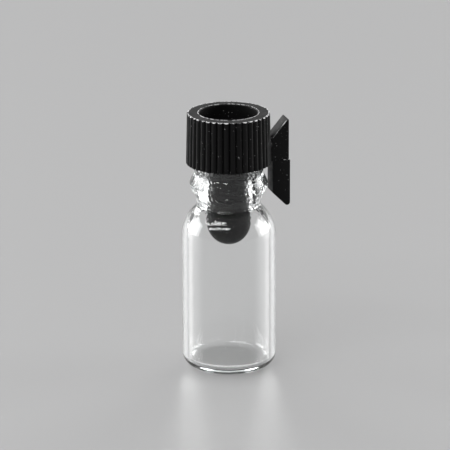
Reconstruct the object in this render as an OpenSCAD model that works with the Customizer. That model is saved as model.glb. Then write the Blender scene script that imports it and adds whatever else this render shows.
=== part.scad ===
// Glass sample vial with a push-in plastic stopper.
// The vial stands on z = 0 with its axis on Z. The stopper's side tab points along +X.

/* [Vial body] */
// Outside diameter of the body
body_d = 11; // [9.5:0.1:16]
// Height of the straight side wall's top edge above the base
body_h = 15.8; // [8:0.1:40]
// Thickness of the side wall
wall_t = 0.75; // [0.5:0.05:1.2]
// Thickness of the base
base_t = 0.8; // [0.5:0.05:2]
// Outside radius of the heel, where the base turns up into the wall
heel_r = 1.5; // [0.8:0.1:2.5]
// Inside radius of the corner between floor and wall
floor_r = 0.6; // [0.3:0.1:1.2]

/* [Shoulder and neck] */
// Radius of the shoulder's outside curve
shoulder_r = 4.7; // [3.5:0.1:6]
// Outside diameter of the waist, the narrowest part of the neck
waist_d = 7.46; // [6.8:0.02:8.4]
// Radius of the crease between shoulder and waist
crease_r = 0.2; // [0.1:0.05:0.6]
// Slope of the neck's wall, from upright
neck_taper = 7; // [0:0.5:12]
// Height of the neck's wall above the crease
neck_rise = 1.04; // [0.6:0.02:1.6]
// Radius of the hollow corner between the neck's wall and the bead
neck_fillet_r = 0.8; // [0.3:0.05:1.2]
// Inside diameter of the neck
bore_d = 5.2; // [4:0.05:5.8]
// Radius of the inside edge where the shoulder runs into the neck
throat_r = 0.6; // [0.3:0.1:1]

/* [Bead and collar] */
// Diameter of the rolled bead, measured to the corner that its round cuts off
bead_d = 9.28; // [8.8:0.02:10.4]
// Height from the top of the neck's wall to that corner
bead_rise = 1.46; // [1:0.02:2.5]
// Radius of the bead's round
bead_r = 0.86; // [0.4:0.02:1.2]
// Diameter of the collar above the bead
collar_d = 8.12; // [7.6:0.02:8.8]
// Height from the bead's corner to the foot of the collar
collar_rise = 1.4; // [1:0.05:2]
// Radius of the hollow corner at the collar's foot
collar_fillet_r = 0.9; // [0.3:0.05:1.2]
// Height of the collar's wall, up to the mouth
collar_h = 1.09; // [0.8:0.01:2]
// Rounding of the collar's top edge
collar_edge_r = 0.45; // [0.2:0.05:0.6]
// Radius of the mouth's inside edge
mouth_edge_r = 0.15; // [0.05:0.01:0.3]

/* [Stopper head] */
// Height of the head
head_h = 6; // [4:0.05:9]
// Diameter over the ribs at the bottom of the head
head_d = 9.92; // [9.2:0.02:11]
// How much narrower the head is at its top, for release from the mould
head_draft = 0.28; // [0:0.02:0.6]
// Number of ribs round the head
rib_n = 40; // [24:1:44]
// Radius over the corners of a rib's six-sided bar, whose outward corner is the rib's crest
rib_r = 0.46; // [0.42:0.02:0.5]
// Depth of the grooves between the ribs
rib_depth = 0.18; // [0.1:0.01:0.2]
// Size of the bevel round the head's top edge
head_bevel = 0.1; // [0.05:0.01:0.3]
// Size of the bevel round the head's bottom edge
foot_bevel = 0.05; // [0.02:0.01:0.2]
// Diameter of the hollow in the head
hollow_d = 6.8; // [5:0.02:7.8]
// Depth of the hollow in the head
hollow_depth = 4.7; // [4.2:0.1:4.9]
// Height of the thin raised brow round the hollow's mouth
brow_h = 0.05; // [0.03:0.01:0.2]
// Width of the flat land on top of that brow
brow_land = 0.02; // [0.02:0.01:0.2]
// Size of the bevel on the brow's inner edge, into the hollow
brow_bevel = 0.14; // [0.05:0.01:0.2]

/* [Stopper plug] */
// Length of the plug below the head, its round tip included
plug_len = 9.87; // [6:0.05:12]
// Clearance between the plug and the neck, on each side
plug_gap = 0.1; // [0.05:0.01:0.2]
// Number of sealing rings round the plug
ring_n = 2; // [1:1:4]
// Distance from the head down to the first ring
ring_first = 1.9; // [1:0.1:3]
// Distance between rings
ring_pitch = 0.95; // [0.8:0.05:1.5]
// Width of a ring
ring_w = 0.45; // [0.3:0.05:0.6]
// Clearance between a ring and the neck, on each side
ring_gap = 0.03; // [0.02:0.01:0.04]
// Thickness of the plug's wall
plug_wall = 0.95; // [0.7:0.05:1.3]
// Clearance between the head and the mouth it sits on
seat_gap = 0.02; // [0:0.01:0.1]

/* [Stopper tab] */
// Thickness of the tab
tab_t = 2.1; // [1.2:0.1:3]
// Distance the tab stands out from its inner face
tab_w = 2; // [1.5:0.1:4]
// How far the tab's lower half stands out past its upper half
tab_step = 0.12; // [0.05:0.01:0.3]
// How far the lower half stands out past the upper half on each side face
tab_ledge = 0.05; // [0.03:0.01:0.1]
// Clearance between the head's ribs and the tab's inner face
tab_gap = 0.04; // [0:0.01:0.2]
// Smallest clearance between the vial's bead and the tab's inner face
tab_bead_gap = 0.3; // [0.2:0.05:0.6]
// Height of the tab's ledge, between its two halves, above the head's underside
tab_ledge_up = 0.1; // [0:0.02:0.6]
// Height of the tab's inner edge above the head's underside
tab_up = 2.8; // [1.5:0.1:3.5]
// Length of the tab's inner edge below the head's underside
tab_down = 3.8; // [2:0.1:6]
// Slope of the tab's upper end
tab_top_slope = 50; // [30:1:60]
// Slope of the tab's lower end
tab_bottom_slope = 45; // [30:1:60]
// Radius of the tab's lower outer corner
tab_corner_r = 0.35; // [0.1:0.05:0.5]
// Radius of the tab's upper outer corner
tab_tip_r = 0.15; // [0.05:0.05:0.3]
// Half of the angle over which a plain pad fills the ribs beside the tab
pad_angle = 42; // [25:1:60]
// Diameter of the trimmed moulding gate beside the tab
gate_d = 0.8; // [0.5:0.1:1.2]
// How far the trimmed gate stands proud of the pad
gate_proud = 0.14; // [0.05:0.01:0.2]
// Angle of the gate from the tab
gate_angle = -15; // [-20:1:-12]
// Height of the gate above the head's underside
gate_up = 2.1; // [0.6:0.1:2.4]

/* [Hidden] */

// Smoothness of turned surfaces, of small round bars, and of each arc in an outline
turn_fn = 96;
bar_fn = 24;
arc_steps = 10;
// Number of sides of a rib's bar, which gives the rib flat flanks
rib_sides = 6;
// Length by which a tool runs past the solid that it cuts or trims
over = 1;
// Points nearer than this count as one
same = 0.001;
// Distance by which a round surface stands clear of the ribs' crests, so that the two never graze
crest_clear = 0.02;

// Vial: radii
body_r = body_d / 2;
waist_r = waist_d / 2;
bead_corner_r = bead_d / 2;
collar_r = collar_d / 2;
bore_r = bore_d / 2;

// Vial: centres of the outline's arcs, each tangent to the next
heel_c = [body_r - heel_r, heel_r];
shoulder_c = [body_r - shoulder_r, body_h];
crease_x = waist_r + crease_r;
crease_dx = crease_x - shoulder_c[0];
crease_c = [crease_x, body_h + tangent_rise(shoulder_r + crease_r, crease_dx)];
crease_a = atan2(crease_c[1] - shoulder_c[1], crease_dx);

// Vial: corners of the neck, the bead and the collar, before they are rounded
neck_foot = crease_c + crease_r * [-cos(neck_taper), sin(neck_taper)];
neck_top = neck_foot + neck_rise * [tan(neck_taper), 1];
bead_corner = [bead_corner_r, neck_top[1] + bead_rise];
collar_foot = [collar_r, bead_corner[1] + collar_rise];
vial_h = collar_foot[1] + collar_h;
collar_top = [collar_r, vial_h];

// Vial: inside
mouth_edge_c = [bore_r + mouth_edge_r, vial_h - mouth_edge_r];
inside_r = body_r - wall_t;
inner_shoulder_r = shoulder_r - wall_t;
throat_x = bore_r + throat_r;
throat_dx = throat_x - shoulder_c[0];
throat_c = [throat_x, body_h + tangent_rise(inner_shoulder_r + throat_r, throat_dx)];
throat_a = atan2(throat_c[1] - shoulder_c[1], throat_dx);
floor_c = [inside_r - floor_r, base_t + floor_r];

// Stopper: every height is measured from the head's underside, at this height
head_z = vial_h + seat_gap;

// Stopper: head. The envelope stands clear of the ribs' crests and trims only their ends, and the
// pad stands just above the crests that it buries
head_r = head_d / 2;
envelope_r = head_r + crest_clear;
pad_r = head_r + crest_clear / 2;
draft_r = head_draft / 2;
draft_a = atan(draft_r / head_h);
root_r = head_r - rib_depth;
hollow_r = hollow_d / 2;
head_floor_t = head_h - hollow_depth;
brow_r = hollow_r + brow_bevel + brow_land;
brow_top = head_h + brow_h;

// Stopper: plug, with the centre of its round tip at tip_z
plug_r = bore_r - plug_gap;
ring_r = bore_r - ring_gap;
tip_z = plug_r - plug_len;
core_r = plug_r - plug_wall;

// Stopper: tab, measured from the axis
tab_x = max(head_r + tab_gap, bead_corner_r + tab_bead_gap);
tab_outer = tab_x + tab_w;
tab_top = tab_up + tab_w * tan(tab_top_slope);
tab_low_outer = tab_outer + tab_step;
tab_low_t = tab_t + 2 * tab_ledge;
tab_bottom = -tab_down - (tab_low_outer - tab_x) * tan(tab_bottom_slope);

// Rise from one arc's centre to the next arc's, for centres a given distance apart
function tangent_rise(apart, across) = sqrt(apart * apart - across * across);

// Points along an arc round c, from angle a0 to angle a1
function arc(c, r, a0, a1) =
    [for (i = [0:arc_steps]) let (a = a0 + (a1 - a0) * i / arc_steps) c + r * [cos(a), sin(a)]];

// Points along the round that fits the corner b on the way from a to c, no wider than its walls allow
function bend(a, b, c, r) =
    let (
        u = (a - b) / norm(a - b),
        v = (c - b) / norm(c - b),
        half = acos(u * v) / 2,
        fit_r = min(r, tan(half) * min(norm(a - b), norm(c - b)) / 2),
        way = (u + v) / norm(u + v),
        centre = b + way * fit_r / sin(half),
        middle = atan2(-way[1], -way[0]),
        turn = (90 - half) * sign(u[0] * v[1] - u[1] * v[0])
    )
    arc(centre, fit_r, middle + turn, middle - turn);

// An outline without its doubled points
function tidy(pts) =
    [for (i = [0:len(pts) - 1]) if (i == 0 || norm(pts[i] - pts[max(i - 1, 0)]) > same) pts[i]];

// Centre of the round that fits a corner between a vertical outer edge and a sloping end
function corner_c(x, y, slope, r, side) =
    [x - r, y - side * r * (tan(slope) + 1 / cos(slope))];

module vial_outline() {
    outside = concat(
        [[0, 0]],
        arc(heel_c, heel_r, -90, 0),
        arc(shoulder_c, shoulder_r, 0, crease_a),
        arc(crease_c, crease_r, 180 + crease_a, 180 - neck_taper),
        bend(neck_foot, neck_top, bead_corner, neck_fillet_r),
        bend(neck_top, bead_corner, collar_foot, bead_r),
        bend(bead_corner, collar_foot, collar_top, collar_fillet_r),
        bend(collar_foot, collar_top, [bore_r, vial_h], collar_edge_r)
    );
    inside = concat(
        arc(mouth_edge_c, mouth_edge_r, 90, 180),
        arc(throat_c, throat_r, 180, 180 + throat_a),
        arc(shoulder_c, inner_shoulder_r, throat_a, 0),
        arc(floor_c, floor_r, 0, -90),
        [[0, base_t]]
    );
    polygon(tidy(concat(outside, inside)));
}

module glass_vial() {
    color([0.82, 0.90, 0.92, 0.4])
        rotate_extrude($fn = turn_fn)
            vial_outline();
}

// The head's envelope: a drafted cone with a bevel round its bottom and its top
module head_envelope() {
    top_r = envelope_r - draft_r;
    rotate_extrude($fn = turn_fn)
        polygon([
            [0, 0],
            [envelope_r - foot_bevel, 0],
            [envelope_r, foot_bevel],
            [top_r, head_h - head_bevel],
            [top_r - head_bevel, head_h],
            [0, head_h]
        ]);
}

// One rib: a six-sided bar, a corner outwards, that leans inwards with the head's draft
module rib() {
    translate([head_r - rib_r, 0, 0])
        rotate([0, -draft_a, 0])
            translate([0, 0, -over])
                cylinder(r = rib_r, h = head_h + 2 * over, $fn = rib_sides);
}

module ribbed_head() {
    intersection() {
        head_envelope();
        union() {
            translate([0, 0, -over])
                cylinder(
                    r1 = root_r + over * tan(draft_a),
                    r2 = root_r - (head_h + over) * tan(draft_a),
                    h = head_h + 2 * over,
                    $fn = turn_fn
                );
            for (i = [0:rib_n - 1])
                rotate([0, 0, i * 360 / rib_n])
                    rib();
        }
    }
}

// Thin raised brow round the hollow's mouth, which the hollow cuts through
module brow() {
    rotate_extrude($fn = turn_fn)
        polygon([
            [0, head_floor_t],
            [brow_r, head_floor_t],
            [brow_r, brow_top],
            [0, brow_top]
        ]);
}

// Plain pad that fills the grooves beside the tab, no higher than the tab's root
module pad() {
    half_w = pad_r * sin(pad_angle);
    near_x = pad_r * cos(pad_angle);
    intersection() {
        rotate_extrude($fn = turn_fn)
            polygon([
                [0, 0],
                [pad_r - foot_bevel, 0],
                [pad_r, foot_bevel],
                [pad_r - tab_up * tan(draft_a), tab_up],
                [0, tab_up]
            ]);
        translate([near_x, -half_w, -over])
            cube([over + pad_r - near_x, 2 * half_w, head_h + over]);
    }
}

// Trimmed gate: a short round stub beside the tab
module gate() {
    rotate([0, 0, gate_angle])
        translate([root_r - rib_r, 0, gate_up])
            rotate([0, 90, 0])
                cylinder(d = gate_d, h = rib_r + rib_depth + gate_proud, $fn = bar_fn);
}

module tab_upper() {
    tip_c = corner_c(tab_outer, tab_top, tab_top_slope, tab_tip_r, 1);
    translate([0, tab_t / 2, 0])
        rotate([90, 0, 0])
            linear_extrude(height = tab_t)
                polygon(concat(
                    [[tab_x, tab_ledge_up], [tab_outer, tab_ledge_up]],
                    arc(tip_c, tab_tip_r, 0, 90 + tab_top_slope),
                    [[tab_x, tab_up]]
                ));
}

module tab_lower() {
    low_c = corner_c(tab_low_outer, tab_bottom, tab_bottom_slope, tab_corner_r, -1);
    translate([0, tab_low_t / 2, 0])
        rotate([90, 0, 0])
            linear_extrude(height = tab_low_t)
                polygon(concat(
                    [[tab_x, tab_ledge_up], [tab_x, -tab_down]],
                    arc(low_c, tab_corner_r, -90 - tab_bottom_slope, 0),
                    [[tab_low_outer, tab_ledge_up]]
                ));
}

// Web that joins the tab's upper half to the head
module tab_root() {
    start_x = hollow_r + (root_r - hollow_r) / 2;
    translate([start_x, -tab_t / 2, 0])
        cube([tab_x - start_x + tab_w / 2, tab_t, tab_up]);
}

// Plug with a round tip and sealing rings
module plug() {
    rotate_extrude($fn = turn_fn)
        polygon(tidy(concat(
            arc([0, tip_z], plug_r, -90, 0),
            [[plug_r, head_floor_t / 2], [0, head_floor_t / 2]]
        )));
    for (i = [0:ring_n - 1])
        translate([0, 0, -ring_first - i * ring_pitch])
            sealing_ring();
}

// One ring: a band with sloping sides and a flat crest a third as wide
module sealing_ring() {
    flat = ring_w / 3;
    rotate_extrude($fn = turn_fn)
        polygon([
            [0, -ring_w / 2],
            [plug_r, -ring_w / 2],
            [ring_r, -flat / 2],
            [ring_r, flat / 2],
            [plug_r, ring_w / 2],
            [0, ring_w / 2]
        ]);
}

// The hollow moulded into the stopper from its top: the head's, then the plug's
module stopper_hollow() {
    rotate_extrude($fn = turn_fn)
        polygon(tidy(concat(
            arc([0, tip_z], core_r, -90, 0),
            [
                [core_r, head_floor_t],
                [hollow_r, head_floor_t],
                [hollow_r, brow_top - brow_bevel],
                [hollow_r + brow_bevel + over, brow_top + over],
                [0, brow_top + over]
            ]
        )));
}

module stopper() {
    color([0.07, 0.07, 0.08])
        translate([0, 0, head_z])
            difference() {
                union() {
                    ribbed_head();
                    brow();
                    pad();
                    gate();
                    tab_root();
                    tab_upper();
                    tab_lower();
                    plug();
                }
                stopper_hollow();
            }
}

glass_vial();
stopper();
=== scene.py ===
"""Looks of a small glass sample vial with a push-in black plastic stopper.

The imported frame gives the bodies, the nodes and the overall sizes. The vial is a turned shell of clear
glass, and the stopper is one ribbed moulding with a side tab. Lengths in the dataclasses are in
millimetres, and meshes are in metres.
"""

import logging
import math
from dataclasses import dataclass, field
from enum import Enum
from functools import reduce
from typing import NamedTuple

import bmesh
import bpy
from bpy.types import Material, Mesh, NodeSocket as Socket, Object
from mathutils import Matrix, Vector


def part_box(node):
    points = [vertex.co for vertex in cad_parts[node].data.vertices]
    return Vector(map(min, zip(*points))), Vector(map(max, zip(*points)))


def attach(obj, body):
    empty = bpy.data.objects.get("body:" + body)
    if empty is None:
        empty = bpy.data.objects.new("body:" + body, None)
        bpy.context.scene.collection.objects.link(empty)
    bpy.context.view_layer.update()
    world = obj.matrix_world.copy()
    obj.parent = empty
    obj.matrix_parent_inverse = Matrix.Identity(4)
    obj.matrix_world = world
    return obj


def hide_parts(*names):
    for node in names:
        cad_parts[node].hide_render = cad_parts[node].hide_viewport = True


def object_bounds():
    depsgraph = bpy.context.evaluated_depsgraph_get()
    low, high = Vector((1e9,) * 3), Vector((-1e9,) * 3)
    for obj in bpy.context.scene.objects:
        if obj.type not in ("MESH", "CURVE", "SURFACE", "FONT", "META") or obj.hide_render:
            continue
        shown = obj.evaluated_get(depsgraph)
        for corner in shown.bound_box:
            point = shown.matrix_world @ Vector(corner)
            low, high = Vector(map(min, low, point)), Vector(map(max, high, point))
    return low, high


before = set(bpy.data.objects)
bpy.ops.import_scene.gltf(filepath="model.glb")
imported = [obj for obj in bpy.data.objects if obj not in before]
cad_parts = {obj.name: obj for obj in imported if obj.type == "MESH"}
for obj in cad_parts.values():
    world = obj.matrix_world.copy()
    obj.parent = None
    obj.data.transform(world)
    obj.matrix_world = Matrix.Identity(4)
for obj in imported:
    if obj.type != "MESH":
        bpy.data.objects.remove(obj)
CAD_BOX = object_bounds()

MM = 0.001
WHITE = (1.0, 1.0, 1.0, 1.0)
SAME_POINT = 1e-4  # millimetres within which two points of an outline are one
SLACK = 1e-6  # share of a stretch that a rounding error may add
ARC_LEAST = 4  # fewest stretches in an arc
WELD = 3e-8  # metres within which the points of a turned grid's seam and poles meet
WALL_FADE = 0.5 * MM  # metres over which unevenness sets in outside a radius
BOUNCES = 32  # light's turns, enough for both walls of the glass and the plug behind them
log = logging.getLogger("vial")

Value = Socket | float
Point = tuple[float, float]
Colour = tuple[float, float, float]


class Body(str, Enum):
    """The rigid bodies that pieces ride on."""

    VIAL = "vial"
    STOPPER = "stopper"


class Node(str, Enum):
    """The CAD nodes, one for each physical piece."""

    VIAL = "glass_vial"
    STOPPER = "stopper"


class Slot(str, Enum):
    """The record's material slots."""

    GLASS = "clear_glass"
    PLASTIC = "black_plastic"


class Step(float, Enum):
    """The longest stretch of an outline on each kind of surface, in millimetres."""

    WALL = 0.9  # the vial's walls
    FLAT = 0.8  # flats and the plug's wall
    BORE = 0.3  # the neck's bore
    PLUG = 0.2  # the plug's round tip
    RIBBED = 0.17  # the ribbed wall, and the top of the head
    BODY = 0.16  # the heel and the shoulder
    CORNER = 0.08  # rounded corners
    NECK = 0.06  # the bead, the collar and the head's bevel
    TAB = 0.05  # the tab's corners, and the corner at the plug's core
    EDGE = 0.04  # the crease and the mouth's edge


# ---- Node trees ----


class Pattern(NamedTuple):
    """A noise pattern: largest features in millimetres, count of finer octaves, and a fixed seed."""

    size: float
    detail: float
    seed: float


class Graph:
    """A node tree under construction, with short ways to add and wire nodes."""

    def __init__(self, tree: bpy.types.NodeTree) -> None:
        """Wraps a geometry or shader node tree."""
        self.tree = tree

    def add(self, kind: str, inputs: dict | None = None, **settings) -> bpy.types.Node:
        """Adds a node.

        Args:
            kind: The node's type name in Blender.
            inputs: Socket name or index to a value, or to an output socket to wire in.
            **settings: Properties of the node, set before its inputs.

        Returns:
            The new node.
        """
        node = self.tree.nodes.new(kind)
        for name, value in settings.items():
            setattr(node, name, value)
        self.fill(node, inputs or {})
        return node

    def fill(self, node: bpy.types.Node, inputs: dict) -> None:
        """Feeds several inputs of a node, each by its name or index."""
        for key, value in inputs.items():
            self.feed(node.inputs[key], value)

    def feed(self, socket: Socket, value) -> None:
        """Wires or sets one input.

        Args:
            socket: The input socket.
            value: An output socket to wire in, or the input's own value.
        """
        if isinstance(value, Socket):
            self.tree.links.new(value, socket)
        else:
            socket.default_value = value

    def math(self, operation: str, *values: Value) -> Socket:
        """Adds a Math node on these values and returns its output."""
        return self.add("ShaderNodeMath", dict(enumerate(values)), operation=operation).outputs[0]

    def plus(self, *values: Value) -> Socket:
        """Adds the values up in order."""
        return reduce(lambda total, value: self.math("ADD", total, value), values)

    def minus(self, value: Value, less: Value) -> Socket:
        """Takes a value from another."""
        return self.math("SUBTRACT", value, less)

    def times(self, *values: Value) -> Socket:
        """Multiplies the values in order."""
        return reduce(lambda total, value: self.math("MULTIPLY", total, value), values)

    def most(self, *values: Value) -> Socket:
        """Picks the greatest of the values."""
        return reduce(lambda best, value: self.math("MAXIMUM", best, value), values)

    def flat(self, x: Value, y: Value) -> tuple[Socket, Socket]:
        """Joins two parts into a flat vector, and returns it and its length."""
        joined = self.add("ShaderNodeCombineXYZ", {0: x, 1: y}).outputs[0]
        return joined, self.add("ShaderNodeVectorMath", {0: joined}, operation="LENGTH").outputs["Value"]

    def spot(self, place: Socket) -> tuple[Socket, ...]:
        """Splits a place into x, y and z, its flat vector from the axis and that vector's length."""
        x, y, z = self.add("ShaderNodeSeparateXYZ", {0: place}).outputs
        return x, y, z, *self.flat(x, y)

    def fade(self, value: Value, low: Value, high: Value, start: float = 0.0, end: float = 1.0) -> Socket:
        """Adds a smooth ramp from start to end as the value goes from low to high.

        Args:
            value: What drives the ramp.
            low: Value at which the ramp starts.
            high: Value at which it ends.
            start: Result below low.
            end: Result above high.

        Returns:
            The ramp's output socket.
        """
        sockets = {"Value": value, "From Min": low, "From Max": high, "To Min": start, "To Max": end}
        return self.add("ShaderNodeMapRange", sockets, interpolation_type="SMOOTHSTEP").outputs["Result"]

    def band(self, value: Socket, middle: float, half: float) -> Socket:
        """Adds a mask of 1 near a middle and 0 past half a band from it, both in millimetres."""
        off = self.math("ABSOLUTE", self.minus(value, middle * MM))
        return self.fade(off, half * 0.5 * MM, half * MM, 1.0, 0.0)

    def noise(self, place: Socket, lumps: Pattern) -> Socket:
        """Adds 4D noise of a pattern at a place in metres, from about 0 to 1."""
        sockets = {"Vector": place, "Scale": 1.0 / (lumps.size * MM), "Detail": lumps.detail, "W": lumps.seed}
        return self.add("ShaderNodeTexNoise", sockets, noise_dimensions="4D").outputs[0]

    def bump(self, shader: bpy.types.Node, relief: Socket) -> None:
        """Gives a shader's surface a relief in metres."""
        bump = self.add("ShaderNodeBump", {"Strength": 1.0, "Distance": 1.0, "Height": relief})
        self.feed(shader.inputs["Normal"], bump.outputs[0])


class TurnedRule(Graph):
    """A Geometry Nodes tree that turns an outline round the Z axis, run once to give a plain mesh.

    Its sockets turn, radius, height and rib carry each point's share of a full turn, distance from the
    axis, height and rib weight as drawn. z, out and reach are its height, its flat vector from the axis
    and that vector's length, as turned.
    """

    def __init__(self, name: str, columns: int) -> None:
        """Starts the tree with a flat grid that has a row for each point of the outline.

        Args:
            name: The tree's name.
            columns: Count of columns round the axis.
        """
        super().__init__(bpy.data.node_groups.new(name, "GeometryNodeTree"))
        self.values: dict[str, object] = {}
        for way in ("INPUT", "OUTPUT"):
            self.tree.interface.new_socket(name="Geometry", in_out=way, socket_type="NodeSocketGeometry")
        self.entry = self.tree.nodes.new("NodeGroupInput")
        self.exit = self.tree.nodes.new("NodeGroupOutput")
        points = self.plus(self.given("Columns", columns), 1.0)
        outline = self.entry.outputs["Geometry"]
        rows = self.add("GeometryNodeAttributeDomainSize", {"Geometry": outline}).outputs["Point Count"]
        sizes = {"Size X": 1.0, "Size Y": 1.0, "Vertices X": points, "Vertices Y": rows}
        self.grid = self.add("GeometryNodeMeshGrid", sizes).outputs["Mesh"]
        self.place = self.add("GeometryNodeInputPosition").outputs[0]
        across, along, self.z, self.out, self.reach = self.spot(self.place)
        self.turn = self.plus(across, 0.5)
        row = self.math("ROUND", self.times(self.plus(along, 0.5), self.minus(rows, 1.0)))
        weight = self.add("GeometryNodeInputNamedAttribute", {"Name": "rib"}, data_type="FLOAT")
        drawn = []
        for kind, value in (("FLOAT_VECTOR", self.place), ("FLOAT", weight.outputs["Attribute"])):
            sockets = {"Geometry": outline, "Index": row, "Value": value}
            drawn.append(self.add("GeometryNodeSampleIndex", sockets, data_type=kind).outputs["Value"])
        self.radius, _, self.height = self.add("ShaderNodeSeparateXYZ", {0: drawn[0]}).outputs
        self.rib = drawn[1]

    def given(self, name: str, value: float | int | Material) -> Socket:
        """Adds a named input to the tree and keeps the value that the modifier will set on it.

        Args:
            name: The input's name.
            value: A length in metres, an angle in radians, a count or a material.

        Returns:
            The socket that carries the value inside the tree.
        """
        kind = {int: "NodeSocketInt", float: "NodeSocketFloat", Material: "NodeSocketMaterial"}[type(value)]
        socket = self.tree.interface.new_socket(name=name, in_out="INPUT", socket_type=kind)
        self.values[socket.identifier] = value
        return self.entry.outputs[name]

    def close(self, radius: Socket, zone: Socket, lumps: Pattern, depth: float, material: Material) -> None:
        """Wraps the grid round the axis, closes its seam and poles, and makes its walls uneven.

        The tree then ends in Realize Instances and Set Material.

        Args:
            radius: Each point's distance from the axis.
            zone: Mask of the walls that noise pushes towards the axis.
            lumps: The noise.
            depth: Depth of the push, in millimetres.
            material: The material, which becomes a named input as the depth does.
        """
        angle = self.times(self.turn, math.tau)
        x, y = (self.times(radius, self.math(part, angle)) for part in ("COSINE", "SINE"))
        place = self.add("ShaderNodeCombineXYZ", {0: x, 1: y, 2: self.height}).outputs[0]
        wrapped = self.add("GeometryNodeSetPosition", {"Geometry": self.grid, "Position": place}).outputs[0]
        ends = {"Geometry": wrapped, "Distance": WELD}
        shell = self.add("GeometryNodeMergeByDistance", ends).outputs[0]
        lump = self.minus(self.noise(self.place, lumps), 1.0)
        push = self.times(lump, zone, self.given("Wobble", depth * MM))
        way = self.add("ShaderNodeVectorMath", {0: self.out}, operation="NORMALIZE").outputs["Vector"]
        offset = self.add("ShaderNodeVectorMath", {0: way, "Scale": push}, operation="SCALE").outputs[0]
        uneven = self.add("GeometryNodeSetPosition", {"Geometry": shell, "Offset": offset}).outputs[0]
        real = self.add("GeometryNodeRealizeInstances", {"Geometry": uneven}).outputs[0]
        sockets = {"Geometry": real, "Material": self.given("Material", material)}
        self.feed(self.exit.inputs[0], self.add("GeometryNodeSetMaterial", sockets).outputs[0])

    def run(self, name: str, outline: "Outline", lift: float = 0.0) -> Mesh:
        """Runs the tree on an outline.

        Args:
            name: Name of the outline's own mesh.
            outline: The outline.
            lift: Height that is added to every point of it, in millimetres.

        Returns:
            The result as a plain mesh that faces outwards.
        """
        base = linked_object(name, outline.mesh(name, lift))
        modifier = base.modifiers.new(self.tree.name, "NODES")
        modifier.node_group = self.tree
        for identifier, value in self.values.items():
            modifier[identifier] = value
        settle(base)
        mesh = base.data
        bpy.data.objects.remove(base)
        cells = bmesh.new()
        cells.from_mesh(mesh)
        bmesh.ops.recalc_face_normals(cells, faces=cells.faces)
        cells.to_mesh(mesh)
        cells.free()
        return mesh


def settle(obj: Object) -> None:
    """Applies modifiers: an object's evaluated mesh becomes its own, and they are removed.

    Args:
        obj: The object.
    """
    bpy.context.view_layer.update()
    graph = bpy.context.evaluated_depsgraph_get()
    obj.data = bpy.data.meshes.new_from_object(obj.evaluated_get(graph), depsgraph=graph)
    obj.modifiers.clear()


def linked_object(name: str, data: bpy.types.ID) -> Object:
    """Puts a mesh, lamp or camera in the scene, at the origin.

    Args:
        name: The new object's name.
        data: The mesh, lamp or camera.

    Returns:
        The new object.
    """
    obj = bpy.data.objects.new(name, data)
    bpy.context.scene.collection.objects.link(obj)
    return obj


def mesh_of(cells: bmesh.types.BMesh, name: str) -> Mesh:
    """Makes a mesh of cells, and frees them.

    Args:
        cells: The points, edges and faces.
        name: The mesh's name.

    Returns:
        The new mesh.
    """
    mesh = bpy.data.meshes.new(name)
    cells.to_mesh(mesh)
    cells.free()
    return mesh


def shade(mesh: Mesh, sharp_deg: float) -> None:
    """Shades a mesh smooth, with edges sharper than an angle in degrees kept crisp."""
    mesh.shade_smooth()
    mesh.set_sharp_from_angle(angle=math.radians(sharp_deg))


# ---- Outlines of turned pieces ----


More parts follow.
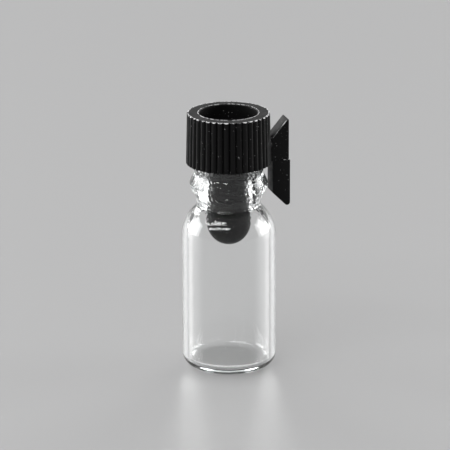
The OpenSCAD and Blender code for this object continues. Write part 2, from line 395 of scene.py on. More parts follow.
@dataclass
class Outline:
    """The half section of a turned piece, drawn as a path of radius and height in millimetres."""

    step: float = Step.BODY  # longest stretch between points along an arc
    points: list[tuple[float, float, float]] = field(default_factory=list)  # radius, height, rib weight

    def to(self, radius: float, height: float, rib: float = 0.0, longest: float = 0.0) -> "Outline":
        """Draws a straight line to a point.

        Args:
            radius: The point's distance from the axis.
            height: The point's height.
            rib: How much of the ribs' relief the point takes, from 0 to 1.
            longest: If above 0, the line is cut into stretches no longer than this.

        Returns:
            The outline, so that calls can follow each other.
        """
        start = self.points[-1] if self.points else (radius, height, rib)
        length = math.dist(start[:2], (radius, height))
        count = max(1, math.ceil(length / longest - SLACK)) if longest > 0 else 1
        for i in range(1, count + 1):
            share = i / count
            point = tuple(a + (b - a) * share for a, b in zip(start, (radius, height, rib)))
            if not self.points or math.dist(self.points[-1][:2], point[:2]) > SAME_POINT:
                self.points.append(point)
        return self

    def arc(self, centre: Point, radius: float, start: float, end: float, step: float = 0.0) -> "Outline":
        """Draws an arc.

        Args:
            centre: The arc's centre, as a radius and a height.
            radius: The arc's own radius.
            start: Angle of its first point, in degrees from the outward direction.
            end: Angle of its last point.
            step: Longest stretch between points, in place of the outline's own.

        Returns:
            The outline.
        """
        sweep = math.radians(abs(end - start))
        count = max(ARC_LEAST, math.ceil(radius * sweep / (step or self.step)))
        for i in range(count + 1):
            angle = math.radians(start + (end - start) * i / count)
            self.to(centre[0] + radius * math.cos(angle), centre[1] + radius * math.sin(angle))
        return self

    def bend(self, before: Point, corner: Point, after: Point, radius: float) -> "Outline":
        """Draws the round that fits a corner of the neck.

        Args:
            before: The point that the path would come from.
            corner: The corner that the round cuts off.
            after: The point that the path would go on to.
            radius: The round's radius.

        Returns:
            The outline.
        """
        corner = Vector(corner)
        back = (Vector(before) - corner).normalized()
        ahead = (Vector(after) - corner).normalized()
        half = back.angle(ahead) / 2
        way = (back + ahead).normalized()
        centre = corner + way * (radius / math.sin(half))
        middle = math.degrees(math.atan2(-way.y, -way.x))
        turn = math.copysign(90 - math.degrees(half), back.x * ahead.y - back.y * ahead.x)
        return self.arc(tuple(centre), radius, middle + turn, middle - turn, Step.NECK)

    def mesh(self, name: str, lift: float = 0.0) -> Mesh:
        """Makes the path a mesh of points and edges in the XZ plane, in metres.

        Args:
            name: The mesh's name.
            lift: Height that is added to every point, in millimetres.

        Returns:
            The mesh, with each point's rib weight in a float attribute named rib.
        """
        mesh = bpy.data.meshes.new(name)
        places = [(r * MM, 0.0, (z + lift) * MM) for r, z, _ in self.points]
        mesh.from_pydata(places, [(i, i + 1) for i in range(len(places) - 1)], [])
        weights = mesh.attributes.new("rib", "FLOAT", "POINT")
        weights.data.foreach_set("value", [weight for _, _, weight in self.points])
        return mesh


# ---- Finishes ----


@dataclass(frozen=True)
class Finish:
    """A named material made from nodes on a Principled shader."""

    name: str

    def start(self, plain: dict) -> tuple[Material, Graph, bpy.types.Node]:
        """Starts the material.

        Args:
            plain: The shader's inputs that are the same all over the surface.

        Returns:
            The new material, its node graph and its Principled shader.
        """
        material = bpy.data.materials.new(self.name)
        material.use_nodes = True
        graph = Graph(material.node_tree)
        shader = material.node_tree.nodes["Principled BSDF"]
        graph.fill(shader, plain)
        return material, graph, shader


@dataclass(frozen=True)
class ClearGlass(Finish):
    """Colourless tubing glass: smooth on the drawn body, uneven where the neck and bead were formed."""

    tint: Colour = (0.80, 0.88, 0.86)  # colour that the glass takes on in its depth
    tint_density: float = 55.0  # how fast it takes it on, per metre
    ior: float = 1.49
    neck_low: float = 17.5  # height at which the formed neck starts
    neck_high: float = 20.5  # height at which it is fully formed
    streaks: Pattern = Pattern(1.1, 2.0, 3.0)  # draw lines down the body
    streak_squash: float = 0.05  # share of its height that the streaks' pattern keeps
    ripple: float = 0.006  # depth of the draw lines
    lumps: Pattern = Pattern(0.32, 0.0, 5.0)  # unevenness in the neck and bead
    forming: float = 0.055  # its depth

    def material(self) -> Material:
        """Makes the glass material.

        Returns:
            The material.
        """
        plain = {"Base Color": WHITE, "Roughness": 0.0, "IOR": self.ior, "Transmission Weight": 1.0}
        material, graph, shader = self.start(plain)
        here = graph.add("ShaderNodeTexCoord").outputs["Object"]
        height = graph.add("ShaderNodeSeparateXYZ", {0: here}).outputs["Z"]
        neck = graph.fade(height, self.neck_low * MM, self.neck_high * MM)
        long_way = graph.add("ShaderNodeMapping", {"Vector": here, "Scale": (1.0, 1.0, self.streak_squash)})
        body_relief = graph.times(graph.noise(long_way.outputs[0], self.streaks), self.ripple * MM)
        neck_relief = graph.times(graph.noise(here, self.lumps), neck, self.forming * MM)
        graph.bump(shader, graph.plus(body_relief, neck_relief))
        tint = {"Color": (*self.tint, 1.0), "Density": self.tint_density}
        depth = graph.add("ShaderNodeVolumeAbsorption", tint)
        graph.feed(material.node_tree.nodes["Material Output"].inputs["Volume"], depth.outputs[0])
        return material


class Edge(NamedTuple):
    """A painted highlight: a bright line along an edge, broken up by noise."""

    half: float  # half of its width
    low: float  # noise level up to which it is dull
    high: float  # noise level from which it is bright
    dull: float  # its strength where it is dull
    bright: float  # its strength where it is bright


@dataclass(frozen=True)
class BlackPlastic(Finish):
    """Moulded black plastic: semi-gloss with fine grain, pale specks and painted highlights along its edges.
    """

    colour: Colour = (0.002, 0.002, 0.0022)  # the pigment's linear colour
    speck_and_glint_colour: Colour = (0.85, 0.85, 0.86)  # pale specks, and the painted highlights along edges
    ior: float = 1.5
    roughness: Point = (0.48, 0.60)  # lowest and highest
    specular: float = 0.18  # mirror-like reflection, where 0.5 is usual
    clouds: Pattern = Pattern(1.6, 3.0, 11.0)  # how the roughness varies
    cloud_levels: Point = (0.3, 0.7)  # noise levels of its lowest and highest
    grain: Pattern = Pattern(0.16, 2.0, 2.0)  # fine grain
    grain_depth: float = 0.006  # its depth
    flow: Pattern = Pattern(1.2, 1.0, 7.0)  # waves left by the melt's flow
    flow_depth: float = 0.01  # their depth
    specks: Pattern = Pattern(0.20, 1.0, 5.0)  # pale specks
    speck_levels: Point = (0.70, 0.76)  # noise levels between which a speck shows
    speck_strength: float = 0.30  # how pale it is
    breaks: Pattern = Pattern(0.34, 2.0, 9.0)  # what breaks the painted highlights up
    rim: Edge = Edge(0.045, 0.42, 0.54, 0.06, 1.0)  # painted highlight along the head's bevel
    top_half: float = 0.03  # half width of the painted highlight above that bevel
    top_levels: Point = (0.14, 0.10)  # how far inside the bevel's start that line sets in
    brow: Edge = Edge(0.05, 0.40, 0.56, 0.12, 0.9)  # painted highlight along the brow's top
    brow_in: float = 0.02  # how far inside the brow's outside its middle lies
    brow_levels: Point = (0.03, 0.01)  # how far below the head's top it sets in
    soft: float = 0.03  # height over which the bevel's line sets in
    parting: Edge = Edge(0.05, 0.44, 0.56, 0.0, 0.9)  # painted highlight along the tab's parting line
    tab_levels: Point = (0.05, 0.1)  # how far outside the tab's inner face its lines set in
    crest: Edge = Edge(0.12, 0.40, 0.55, 0.15, 0.8)  # painted highlights along the side edges of the tab's top
    crest_half: float = 0.14  # half of their height

    def glints_and_specks(self, graph: Graph, here: Socket, piece: "Stopper") -> Socket:
        """Adds the mask of pale specks and of the painted highlights along edges.

        Args:
            graph: The material's graph.
            here: Object coordinates.
            piece: The stopper along whose edges highlights are painted.

        Returns:
            The mask's socket.
        """
        x, y, z, _, reach = graph.spot(here)
        rim_z = piece.base_z + piece.head_h
        rim_r = piece.head_r + piece.clear - piece.draft - piece.bevel
        brow_r = piece.hollow_r + piece.brow_w
        top = rim_z * MM
        bevel = graph.band(graph.plus(z, reach), rim_z + rim_r, self.rim.half)
        outer = graph.fade(reach, *((rim_r - level) * MM for level in self.top_levels))
        edge = graph.times(graph.band(z, rim_z, self.top_half), outer)
        near_top = graph.fade(z, top - piece.bevel * MM, top - (piece.bevel - self.soft) * MM)
        raised = graph.fade(z, *(top - level * MM for level in self.brow_levels))
        ring = graph.band(reach, brow_r - self.brow_in, self.brow.half)
        tab = graph.fade(x, *((piece.tab.inner + level) * MM for level in self.tab_levels))
        parting = graph.band(z, piece.base_z + piece.tab.ledge_up, self.parting.half)
        slope = math.tan(math.radians(piece.tab.top_slope))
        climb = graph.times(graph.minus(x, piece.tab.inner * MM), slope)
        crown = graph.band(graph.minus(z, climb), piece.base_z + piece.tab.up, self.crest_half)
        side = graph.band(graph.math("ABSOLUTE", y), piece.tab.thick / 2, self.crest.half)
        # painted highlights: bright broken lines along the head's bevel, the brow, the tab's parting line and
        # the side edges of the tab's top
        lines = (
            (graph.times(graph.most(bevel, edge), near_top), self.rim),
            (graph.times(raised, ring), self.brow),
            (graph.times(parting, tab), self.parting),
            (graph.times(crown, side, tab), self.crest),
        )
        broken = graph.noise(here, self.breaks)
        glint_lines = (graph.times(line, graph.fade(broken, *edge[1:])) for line, edge in lines)
        shown = graph.fade(graph.noise(here, self.specks), *self.speck_levels)
        return graph.most(*glint_lines, graph.times(shown, self.speck_strength))

    def material(self, piece: "Stopper") -> Material:
        """Makes the plastic material.

        Args:
            piece: The stopper that it dresses.

        Returns:
            The material.
        """
        material, graph, shader = self.start({"IOR": self.ior, "Specular IOR Level": self.specular})
        here = graph.add("ShaderNodeTexCoord").outputs["Object"]
        glints_and_specks = self.glints_and_specks(graph, here, piece)
        # the specks and the painted highlights along edges turn the black base colour pale
        blend = {"Factor": glints_and_specks, "A": (*self.colour, 1.0), "B": (*self.speck_and_glint_colour, 1.0)}
        colour = graph.add("ShaderNodeMix", blend, data_type="RGBA").outputs["Result"]
        gloss = graph.fade(graph.noise(here, self.clouds), *self.cloud_levels, *self.roughness)
        graph.fill(shader, {"Base Color": colour, "Roughness": gloss})
        grain = graph.times(graph.noise(here, self.grain), self.grain_depth * MM)
        flow = graph.times(graph.noise(here, self.flow), self.flow_depth * MM)
        graph.bump(shader, graph.plus(grain, flow))
        return material


@dataclass(frozen=True)
class PaleFloor(Finish):
    """A plain pale floor, which keeps some of its own level where the camera, mirrors and glass see it."""

    colour: Colour = (0.20, 0.20, 0.2025)  # its linear colour
    roughness: float = 0.38  # how matte it is
    glow: float = 0.2  # the level that it keeps, where 1 is white

    def material(self) -> Material:
        """Makes the floor material.

        Returns:
            The material.
        """
        plain = {"Base Color": (*self.colour, 1.0), "Roughness": self.roughness, "Emission Color": WHITE}
        material, graph, shader = self.start(plain)
        rays = graph.add("ShaderNodeLightPath").outputs
        seen = graph.most(*(rays[f"Is {kind} Ray"] for kind in ("Camera", "Glossy", "Transmission")))
        graph.feed(shader.inputs["Emission Strength"], graph.times(seen, self.glow))
        return material


# ---- Pieces ----


def tangent_rise(apart: float, across: float) -> float:
    """Returns how far one arc's centre stands above the next one's, from their distances."""
    return math.sqrt(apart * apart - across * across)


def bearing(start: Point, end: Point) -> float:
    """Returns the direction from one point to another, in degrees from the outward direction."""
    return math.degrees(math.atan2(end[1] - start[1], end[0] - start[0]))


@dataclass
class Vial:
    """The glass vial, turned from its half section.

    Lengths are in millimetres. _r ends the name of a radius, _t of a thickness and _h of a height.
    """

    body_r: float
    height: float  # height of the mouth
    body_h: float = 15.8  # height of the straight wall's top edge
    wall_t: float = 0.75
    base_t: float = 0.8
    heel_r: float = 1.5
    floor_r: float = 0.6  # inside, between floor and wall
    shoulder_r: float = 4.7
    waist_r: float = 3.73  # outside, at the neck's waist
    crease_r: float = 0.2  # between shoulder and waist
    neck_taper: float = 7.0  # slope of the neck's wall from upright, in degrees
    neck_rise: float = 1.04  # height of the neck's wall
    neck_fillet_r: float = 0.8  # the hollow corner under the bead
    bead_corner_r: float = 4.64  # the bead's corner, before it is rounded
    bead_rise: float = 1.46  # height of that corner above the neck's wall
    bead_r: float = 0.86
    collar_r: float = 4.06
    collar_rise: float = 1.4  # height of the collar's foot above the bead's corner
    collar_fillet_r: float = 0.9  # the hollow corner at the collar's foot
    collar_edge_r: float = 0.45
    bore_r: float = 2.6
    throat_r: float = 0.6  # the inside edge under the neck
    mouth_edge_r: float = 0.15
    columns: int = 224  # round the axis
    lumps: Pattern = Pattern(2.6, 1.0, 4.0)  # unevenness of the bead
    wobble: float = 0.02  # its depth
    wobble_below: float = 2.0  # distance below the mouth at which it is full
    bore_skin: float = 0.1  # thickness round the bore that stays true
    sharp_deg: float = 60.0  # edges sharper than this stay crisp

    @classmethod
    def from_frame(cls) -> "Vial":
        """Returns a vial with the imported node's own radius and height."""
        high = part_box(Node.VIAL.value)[1]
        return cls(body_r=high.x / MM, height=high.z / MM)

    def outline(self) -> Outline:
        """Draws the half section.

        Returns:
            The outline, from the middle of the base's underside round to its floor.
        """
        shoulder = (self.body_r - self.shoulder_r, self.body_h)
        crease_x = self.waist_r + self.crease_r
        rise = tangent_rise(self.shoulder_r + self.crease_r, crease_x - shoulder[0])
        crease = (crease_x, self.body_h + rise)
        crease_a = bearing(shoulder, crease)
        taper = math.radians(self.neck_taper)
        neck_foot = (crease[0] - self.crease_r * math.cos(taper), crease[1] + self.crease_r * math.sin(taper))
        neck_top = (neck_foot[0] + self.neck_rise * math.tan(taper), neck_foot[1] + self.neck_rise)
        bead = (self.bead_corner_r, neck_top[1] + self.bead_rise)
        collar_foot = (self.collar_r, bead[1] + self.collar_rise)
        collar_top = (self.collar_r, self.height)
        inner_r = self.shoulder_r - self.wall_t
        throat_x = self.bore_r + self.throat_r
        throat = (throat_x, self.body_h + tangent_rise(inner_r + self.throat_r, throat_x - shoulder[0]))
        throat_a = bearing(shoulder, throat)
        inside_r = self.body_r - self.wall_t
        heel = (self.body_r - self.heel_r, self.heel_r)
        floor = (inside_r - self.floor_r, self.base_t + self.floor_r)
        mouth_edge = (self.bore_r + self.mouth_edge_r, self.height - self.mouth_edge_r)
        line = Outline(Step.BODY)
        line.to(0.0, 0.0).to(heel[0], 0.0, longest=Step.FLAT)
        line.arc(heel, self.heel_r, -90, 0)
        line.to(self.body_r, self.body_h, longest=Step.WALL)
        line.arc(shoulder, self.shoulder_r, 0, crease_a)
        line.arc(crease, self.crease_r, 180 + crease_a, 180 - self.neck_taper, Step.EDGE)
        corners = (neck_foot, neck_top, bead, collar_foot, collar_top, (self.bore_r, self.height))
        rounds = (self.neck_fillet_r, self.bead_r, self.collar_fillet_r, self.collar_edge_r)
        for i, radius in enumerate(rounds):
            line.bend(*corners[i:i + 3], radius)
        line.arc(mouth_edge, self.mouth_edge_r, 90, 180, Step.EDGE)
        line.to(self.bore_r, throat[1], longest=Step.BORE)
        line.arc(throat, self.throat_r, 180, 180 + throat_a, Step.CORNER)
        line.arc(shoulder, inner_r, throat_a, 0)
        line.to(inside_r, floor[1], longest=Step.WALL)
        line.arc(floor, self.floor_r, 0, -90, Step.CORNER)
        return line.to(0.0, self.base_t, longest=Step.FLAT)

    def rule(self, material: Material) -> TurnedRule:
        """Builds the tree that turns the outline and gives the bead its slight unevenness.

        Args:
            material: The glass.

        Returns:
            The tree.
        """
        rule = TurnedRule("turned_glass", self.columns)
        bead_low = rule.given("Bead low", self.body_h * MM)
        bead_high = rule.given("Bead high", (self.height - self.wobble_below) * MM)
        outer_r = rule.given("Bore side", (self.bore_r + self.bore_skin) * MM)
        outside = rule.fade(rule.reach, outer_r, rule.plus(outer_r, WALL_FADE))
        zone = rule.times(rule.fade(rule.z, bead_low, bead_high), outside)
        rule.close(rule.radius, zone, self.lumps, self.wobble, material)
        return rule

    def build(self, finish: ClearGlass) -> Object:
        """Makes the vial and puts it in the place of its CAD node.

        Args:
            finish: The glass.

        Returns:
            The finished piece.
        """
        mesh = self.rule(finish.material()).run("vial_outline", self.outline())
        shade(mesh, self.sharp_deg)
        piece = linked_object("vial_glass", mesh)
        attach(piece, Body.VIAL.value)
        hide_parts(Node.VIAL.value)
        return piece


@dataclass
class Tab:
    """The flat tab at the stopper's side. Heights are measured from the head's underside."""

    inner: float  # from the axis to the inner face
    outer: float  # to the upper half's outer face
    low_outer: float  # to the lower half's outer face
    thick: float = 2.1  # thickness of the upper half
    ledge: float = 0.05  # how far the lower half stands proud on each side
    ledge_up: float = 0.1  # height of the ledge between the two halves
    up: float = 2.8  # height of the inner edge above the head's underside
    down: float = 3.8  # length of the inner edge below the head's underside
    top_slope: float = 50.0  # slope of the upper end, in degrees
    bottom_slope: float = 45.0  # slope of the lower end
    corner_r: float = 0.35  # the lower outer corner
    tip_r: float = 0.15  # the upper outer corner
    edge_r: float = 0.09  # rounding of the upper half's edges
    ledge_r: float = 0.03  # rounding of the lower half's edges
    edge_steps: int = 3  # faces across a rounded edge
    edge_deg: float = 30.0  # edges sharper than this are rounded
    root: float = 4.1  # from the axis to where the web to the head starts

    def upper(self) -> Outline:
        """Draws the upper half.

        Returns:
            Its outline, as distance from the axis and height.
        """
        slope = math.radians(self.top_slope)
        top = self.up + (self.outer - self.inner) * math.tan(slope)
        centre = (self.outer - self.tip_r, top - self.tip_r * (math.tan(slope) + 1 / math.cos(slope)))
        line = Outline(Step.TAB).to(self.inner, self.ledge_up).to(self.outer, self.ledge_up)
        return line.arc(centre, self.tip_r, 0, 90 + self.top_slope).to(self.inner, self.up)

    def lower(self) -> Outline:
        """Draws the lower half.

        Returns:
            Its outline.
        """
        slope = math.radians(self.bottom_slope)
        bottom = -self.down - (self.low_outer - self.inner) * math.tan(slope)
        drop = self.corner_r * (math.tan(slope) + 1 / math.cos(slope))
        centre = (self.low_outer - self.corner_r, bottom + drop)
        line = Outline(Step.TAB).to(self.inner, self.ledge_up).to(self.inner, -self.down)
        return line.arc(centre, self.corner_r, -90 - self.bottom_slope, 0).to(self.low_outer, self.ledge_up)

    def web(self) -> Outline:
        """Returns the outline of the web that joins the tab's upper half to the head."""
        reach = (self.inner + self.outer) / 2
        return Outline().to(self.root, 0.0).to(reach, 0.0).to(reach, self.up).to(self.root, self.up)

    def slabs(self, base_z: float) -> list[Object]:
        """Makes the tab's closed slabs: its web, its upper half and its lower half.

        Args:
            base_z: Height of the head's underside.

        Returns:
            The slabs, with their edges rounded.
        """
        made = []
        for name, line, thick, edge_r in (
            ("tab_web", self.web(), self.thick, 0.0),
            ("tab_upper", self.upper(), self.thick, self.edge_r),
            ("tab_lower", self.lower(), self.thick + 2 * self.ledge, self.ledge_r),
        ):
            cells = bmesh.new()
            near = [cells.verts.new((x * MM, -thick / 2 * MM, (z + base_z) * MM)) for x, z, _ in line.points]
            grown = bmesh.ops.extrude_face_region(cells, geom=[cells.faces.new(near)])["geom"]
            far = [v for v in grown if isinstance(v, bmesh.types.BMVert)]
            bmesh.ops.translate(cells, verts=far, vec=(0.0, thick * MM, 0.0))
            bmesh.ops.recalc_face_normals(cells, faces=cells.faces)
            slab = linked_object(name, mesh_of(cells, name))
            if edge_r > 0:
                rounding = slab.modifiers.new("rounding", "BEVEL")
                rounding.width = edge_r * MM
                rounding.segments = self.edge_steps
                rounding.limit_method = "ANGLE"
                rounding.angle_limit = math.radians(self.edge_deg)
                settle(slab)
            made.append(slab)
        return made


@dataclass
class Stopper:
    """The black plastic stopper: ribbed hollow head, round-tipped plug and side tab.

    Heights are measured from the head's underside, and all lengths are in millimetres. _r ends the name
    of a radius, _h of a height, _w of a width and _n of a count.
    """

    base_z: float  # height of the head's underside above the vial's base
    head_h: float
    plug_len: float  # length of the plug below the head
    tab: Tab
    seat_gap: float = 0.02  # clearance between the head and the mouth
    tab_gap: float = 0.04  # clearance between the ribs and the tab
    tab_step: float = 0.12  # how far the tab's lower half stands out past its upper
    head_r: float = 4.96  # over the ribs, at the bottom of the head
    draft: float = 0.14  # how much smaller that radius is at the top
    rib_n: int = 40
    rib_depth: float = 0.26
    rib_soft: float = 0.03  # smoothing between a rib's back and the groove's bed
    bar_r: float = 0.41  # a rib's rounded back
    clear: float = 0.02  # what bevels and pad stand clear of the crests
    bevel: float = 0.1  # bevel of the head's top edge
    foot_bevel: float = 0.05  # rounding of the head's bottom edge
    rib_fade: float = 0.22  # width over which the ribs end on the head's top
    rib_margin: float = 0.1  # width inside the grooves that the underside adds
    hollow_r: float = 3.40
    hollow_depth: float = 4.7
    hollow_corner_r: float = 0.2  # rounding round the hollow's floor
    core_corner_r: float = 0.1  # rounding where that floor meets the plug's core
    brow_h: float = 0.05  # height of the thin raised brow round the hollow's mouth
    brow_w: float = 0.16
    brow_bevel: float = 0.14  # bevel of the brow's inner edge, into the hollow
    plug_r: float = 2.5
    plug_root: float = 0.08  # bevel between the plug and the head
    ring_r: float = 2.57  # over a sealing ring
    ring_first: float = 1.9  # distance from the head down to the first ring
    ring_pitch: float = 0.95
    ring_n: int = 2
    ring_w: float = 0.45
    plug_wall: float = 0.95
    pad_deg: float = 42.0  # half angle over which a pad fills the grooves
    pad_soft: float = 0.06  # angle over which the pad ends, in radians
    pad_top_soft: float = 0.15  # height over which it ends
    gate_deg: float = -15.0  # angle of the trimmed gate from the tab
    gate_up: float = 2.1
    gate_r: float = 0.42
    gate_flat: float = 0.6  # share of the gate's radius that is flat
    gate_proud: float = 0.13  # how far the gate stands proud
    columns_per_rib: int = 14
    lumps: Pattern = Pattern(0.5, 2.0, 6.0)  # unevenness of the moulded walls
    wobble: float = 0.012  # its depth
    plug_skin: float = 0.4  # distance outside the plug that stays true
    sharp_deg: float = 35.0  # edges sharper than this stay crisp

    @classmethod
    def from_frame(cls, vial: Vial) -> "Stopper":
        """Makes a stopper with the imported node's own heights and reach.

        Args:
            vial: The vial that it sits on.

        Returns:
            The stopper.
        """
        low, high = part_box(Node.STOPPER.value)
        base_z = vial.height + cls.seat_gap
        reach = high.x / MM
        tab = Tab(inner=cls.head_r + cls.tab_gap, outer=reach - cls.tab_step, low_outer=reach)
        head_h = high.z / MM - base_z - cls.brow_h
        return cls(base_z=base_z, head_h=head_h, plug_len=base_z - low.z / MM, tab=tab)

    def outline(self) -> Outline:
        """Draws the half section.

        Returns:
            The outline, from the plug's tip up the outside and down the hollow.
        """
        tip_z = self.plug_r - self.plug_len
        floor_z = self.head_h - self.hollow_depth
        core_r = self.plug_r - self.plug_wall
        side_r = self.head_r + self.clear
        top_r = side_r - self.draft
        slope_r = (self.plug_r + self.ring_r) / 2
        brow_r = self.hollow_r + self.brow_w
        brow_z = self.head_h + self.brow_h
        hollow_round, core_round = self.hollow_corner_r, self.core_corner_r
        ring = ((self.plug_r, -2), (slope_r, -3), (self.ring_r, -8), (self.ring_r, 8), (slope_r, 3),
                (self.plug_r, 2))  # each point's radius, and its share of the ring's width from the middle
        line = Outline(Step.PLUG)
        line.arc((0.0, tip_z), self.plug_r, -90, 0)
        for i in reversed(range(self.ring_n)):
            middle = -self.ring_first - i * self.ring_pitch
            for radius, part in ring:
                line.to(radius, middle + self.ring_w / part, longest=Step.FLAT)
        line.to(self.plug_r, -self.plug_root, longest=Step.FLAT).to(self.plug_r + self.plug_root, 0.0)
        line.to(self.head_r - self.rib_depth - self.rib_margin, 0.0, longest=Step.FLAT)
        line.to(side_r - self.foot_bevel, 0.0, longest=Step.CORNER)
        line.points[-1] = (*line.points[-1][:2], 1.0)
        line.to(side_r, self.foot_bevel, 1.0)
        line.to(top_r, self.head_h - self.bevel, 1.0, longest=Step.RIBBED)
        line.to(top_r - self.bevel, self.head_h, 1.0, longest=Step.NECK)
        line.to(top_r - self.bevel - self.rib_fade, self.head_h, 0.0)
        line.to(brow_r, self.head_h, longest=Step.RIBBED).to(brow_r, brow_z)
        line.to(self.hollow_r + self.brow_bevel, brow_z).to(self.hollow_r, brow_z - self.brow_bevel)
        line.arc((self.hollow_r - hollow_round, floor_z + hollow_round), hollow_round, 0, -90, Step.CORNER)
        line.arc((core_r + core_round, floor_z - core_round), core_round, 90, 180, Step.TAB)
        return line.arc((0.0, tip_z), core_r, 0, -90)

    def relief(self, rule: TurnedRule) -> Socket:
        """Builds the rule that gives the head's wall its ribs, pad and gate.

        Args:
            rule: The tree to build in.

        Returns:
            Each point's final distance from the axis.
        """
        ribs = rule.given("Ribs", float(self.rib_n))
        lean = rule.given("Lean", self.draft / self.head_h)
        pad_angle = rule.given("Pad angle", math.radians(self.pad_deg))
        gate_angle = rule.given("Gate angle", math.radians(self.gate_deg))
        depth, half_rib, bar_r, foot_r, foot_z, pad_top, gate_z, gate_r, gate_proud = (
            rule.given(name, length * MM) for name, length in (
                ("Rib depth", self.rib_depth),
                ("Half a rib", math.pi * self.head_r / self.rib_n),
                ("Bar radius", self.bar_r),
                ("Head radius", self.head_r),
                ("Head foot", self.base_z),
                ("Pad top", self.base_z + self.tab.up),
                ("Gate height", self.base_z + self.gate_up),
                ("Gate radius", self.gate_r),
                ("Gate proud", self.gate_proud),
            ))
        phase = rule.math("FRACT", rule.plus(rule.times(rule.turn, ribs), 0.5))
        side = rule.minus(rule.times(phase, 2.0), 1.0)
        off_crest = rule.math("DIVIDE", rule.times(side, half_rib), bar_r)
        level = rule.minus(1.0, rule.times(off_crest, off_crest))
        drop = rule.minus(1.0, rule.math("SQRT", rule.most(level, 0.0)))
        groove = rule.math("SMOOTH_MIN", rule.times(drop, bar_r), depth, self.rib_soft * MM)
        half_turn = rule.math("FRACT", rule.plus(rule.turn, 0.5))
        angle = rule.times(rule.minus(half_turn, 0.5), math.tau)
        spread = rule.math("ABSOLUTE", angle)
        beside = rule.fade(spread, rule.minus(pad_angle, self.pad_soft), pad_angle, 1.0, 0.0)
        below = rule.fade(rule.height, rule.minus(pad_top, self.pad_top_soft * MM), pad_top, 1.0, 0.0)
        pad = rule.times(beside, below)
        cut = rule.times(groove, rule.minus(1.0, pad))
        fill = rule.times(pad, self.clear / 2 * MM)
        wall = rule.minus(foot_r, rule.times(rule.minus(rule.height, foot_z), lean))
        trimmed = rule.math("MINIMUM", rule.radius, rule.plus(rule.minus(wall, cut), fill))
        across = rule.times(rule.minus(angle, gate_angle), rule.radius)
        _, distance = rule.flat(across, rule.minus(rule.height, gate_z))
        stub = rule.fade(distance, rule.times(gate_r, self.gate_flat), gate_r, 1.0, 0.0)
        proud = rule.plus(trimmed, rule.times(stub, gate_proud))
        return rule.plus(rule.radius, rule.times(rule.minus(proud, rule.radius), rule.rib))

    def rule(self, material: Material) -> TurnedRule:
        """Builds the tree that turns the outline into the ribbed head and plug.

        Args:
            material: The plastic.

        Returns:
            The tree.
        """
        rule = TurnedRule("ribbed_moulding", self.rib_n * self.columns_per_rib)
        plug_side = rule.given("Plug side", (self.plug_r + self.plug_skin) * MM)
        zone = rule.fade(rule.reach, plug_side, rule.plus(plug_side, WALL_FADE))
        rule.close(self.relief(rule), zone, self.lumps, self.wobble, material)
        return rule

    def build(self, finish: BlackPlastic) -> Object:
        """Makes the stopper and puts it in the place of its CAD node.

        Args:
            finish: The plastic.

        Returns:
            The finished piece, one closed skin with its tab fused on.
        """
        material = finish.material(self)
        mesh = self.rule(material).run("stopper_outline", self.outline(), self.base_z)
        piece = linked_object("stopper_moulding", mesh)
        slabs = self.tab.slabs(self.base_z)
        for slab in slabs:
            slab.data.materials.append(material)
            fuse = piece.modifiers.new("fuse", "BOOLEAN")
            fuse.operation = "UNION"
            fuse.solver = "EXACT"
            fuse.object = slab
        settle(piece)
        for slab in slabs:
            bpy.data.objects.remove(slab)
        shade(piece.data, self.sharp_deg)
        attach(piece, Body.STOPPER.value)
        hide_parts(Node.STOPPER.value)
        return piece


# ---- Studio ----


def direction(azimuth: float, elevation: float) -> Vector:
    """Returns the unit vector from the object towards a viewer at an azimuth and elevation in degrees."""
    a, e = math.radians(azimuth), math.radians(elevation)
    return Vector((math.sin(a) * math.cos(e), -math.cos(a) * math.cos(e), math.sin(e)))


def aimed(place: Vector, towards: Vector, roll: float) -> Matrix:
    """Returns the matrix of a lamp or camera at a place, looking in a direction, rolled in degrees."""
    turn = towards.to_track_quat("-Z", "Y").to_matrix().to_4x4()
    return Matrix.Translation(place) @ turn @ Matrix.Rotation(math.radians(roll), 4, "Z")


@dataclass(frozen=True)
class SoftBox:
    """A rectangular lamp aimed at the object."""

    name: str
    azimuth: float  # from the object, in degrees anticlockwise from the camera's side
    elevation: float  # height above the horizon, in degrees
    width: float  # in metres
    height: float  # in metres
    radiance: float  # brightness of its face, where 1 is display white
    roll: float = 0.0  # turn about its own axis, in degrees
    distance: float = 0.9  # from the object, in metres

    def place(self, centre: Vector, camera_azimuth: float) -> None:
        """Adds the lamp to the scene.

        Args:
            centre: The point it is aimed at.
            camera_azimuth: The camera's own azimuth, in degrees.
        """
        lamp = bpy.data.lights.new(self.name, "AREA")
        lamp.shape = "RECTANGLE"
        lamp.size, lamp.size_y = self.width, self.height
        lamp.energy = self.radiance * math.pi * self.width * self.height
        back = direction(camera_azimuth + self.azimuth, self.elevation)
        obj = linked_object(self.name, lamp)
        obj.matrix_world = aimed(centre + back * self.distance, -back, self.roll)


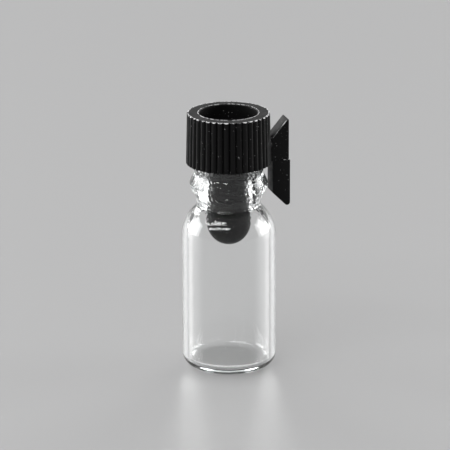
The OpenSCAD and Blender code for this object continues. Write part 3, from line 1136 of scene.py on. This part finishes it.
@dataclass(frozen=True)
class Studio:
    """The floor, the lamps, the world and the camera."""

    azimuth: float = -15.0  # the camera's azimuth, in degrees
    elevation: float = 17.4  # its elevation
    distance: float = 0.4228  # its distance from the object, in metres
    lens: float = 290.0  # its focal length, in millimetres
    sensor: float = 36.0  # its sensor's width, in millimetres
    clip: Point = (0.01, 20.0)  # nearest and farthest that it sees, in metres
    aim_share: float = 0.5534  # height of the aiming point, as a share of the object's height
    aim_left: float = 0.00044  # how far left of the axis it aims, in metres
    roll: float = -0.2  # its roll, in degrees
    floor_r: float = 3.0  # radius of the floor, in metres
    floor_sides: int = 96  # count of its sides
    floor_drop: float = 0.00002  # how far it lies under the object, in metres
    world: float = 0.25  # grey level of the surroundings
    lamps: tuple[SoftBox, ...] = (
        SoftBox("softbox_left", -105.0, 8.0, 0.60, 0.66, 5.5),
        SoftBox("softbox_right", 102.0, 8.0, 0.50, 0.66, 5.0),
        SoftBox("back_left", -150.0, 24.0, 0.36, 0.36, 6.0),
        SoftBox("rear", 180.0, 24.0, 0.9, 0.10, 2.2),
        SoftBox("low_left", -122.0, 4.5, 0.34, 0.14, 4.0),
        SoftBox("low_right", 122.0, 4.5, 0.34, 0.14, 4.0),
        SoftBox("back_right", 150.0, 24.0, 0.36, 0.36, 6.0),
        SoftBox("strip_upper", -48.0, 49.0, 0.80, 0.075, 14.0, 23.0),
        SoftBox("strip_lower", -29.0, 37.5, 0.86, 0.06, 14.0, 12.0),
    )

    def floor(self, finish: PaleFloor) -> None:
        """Makes the floor: a flat disc just under the object.

        Args:
            finish: The floor's surface.
        """
        cells = bmesh.new()
        bmesh.ops.create_circle(cells, cap_ends=True, radius=self.floor_r, segments=self.floor_sides)
        floor = linked_object("floor", mesh_of(cells, "floor"))
        floor.data.materials.append(finish.material())
        floor.location.z = -self.floor_drop

    def light(self, centre: Vector) -> None:
        """Places the lamps and sets the world's even light.

        Args:
            centre: The point that the lamps stand round.
        """
        for lamp in self.lamps:
            lamp.place(centre, self.azimuth)
            log.info("lamp %s", lamp.name)
        world = bpy.data.worlds.new("surroundings")
        bpy.context.scene.world = world
        world.use_nodes = True
        grey = {"Color": (self.world, self.world, self.world, 1.0), "Strength": 1.0}
        Graph(world.node_tree).fill(world.node_tree.nodes["Background"], grey)

    def shoot(self, low: Vector, high: Vector) -> None:
        """Adds the camera and makes it the scene's own.

        Args:
            low: The object's lowest corner.
            high: Its highest corner.
        """
        back = direction(self.azimuth, self.elevation)
        azimuth = math.radians(self.azimuth)
        right = Vector((math.cos(azimuth), math.sin(azimuth), 0.0))
        aim = Vector((0.0, 0.0, low.z + (high.z - low.z) * self.aim_share)) - right * self.aim_left
        view = bpy.data.cameras.new("camera")
        view.lens = self.lens
        view.sensor_width = self.sensor
        view.clip_start, view.clip_end = self.clip
        camera = linked_object("camera", view)
        camera.matrix_world = aimed(aim + back * self.distance, -back, self.roll)
        bpy.context.scene.camera = camera


def main() -> None:
    """Builds the studio and the pieces in order, and reports each one."""
    logging.basicConfig(level=logging.INFO, format="%(name)s: %(message)s")
    scene = bpy.context.scene
    scene.view_settings.view_transform = "Standard"
    scene.cycles.max_bounces = scene.cycles.transmission_bounces = BOUNCES
    low, high = CAD_BOX
    studio = Studio()
    studio.shoot(low, high)
    studio.light(Vector((0.0, 0.0, high.z / 2)))
    studio.floor(PaleFloor("pale_floor"))
    vial = Vial.from_frame()
    stopper = Stopper.from_frame(vial)
    pieces = (
        vial.build(ClearGlass("clear_tubing_glass")),
        stopper.build(BlackPlastic("black_moulded_plastic")),
    )
    for piece in pieces:
        log.info("%s: %d faces", piece.name, len(piece.data.polygons))


if __name__ == "__main__":
    main()
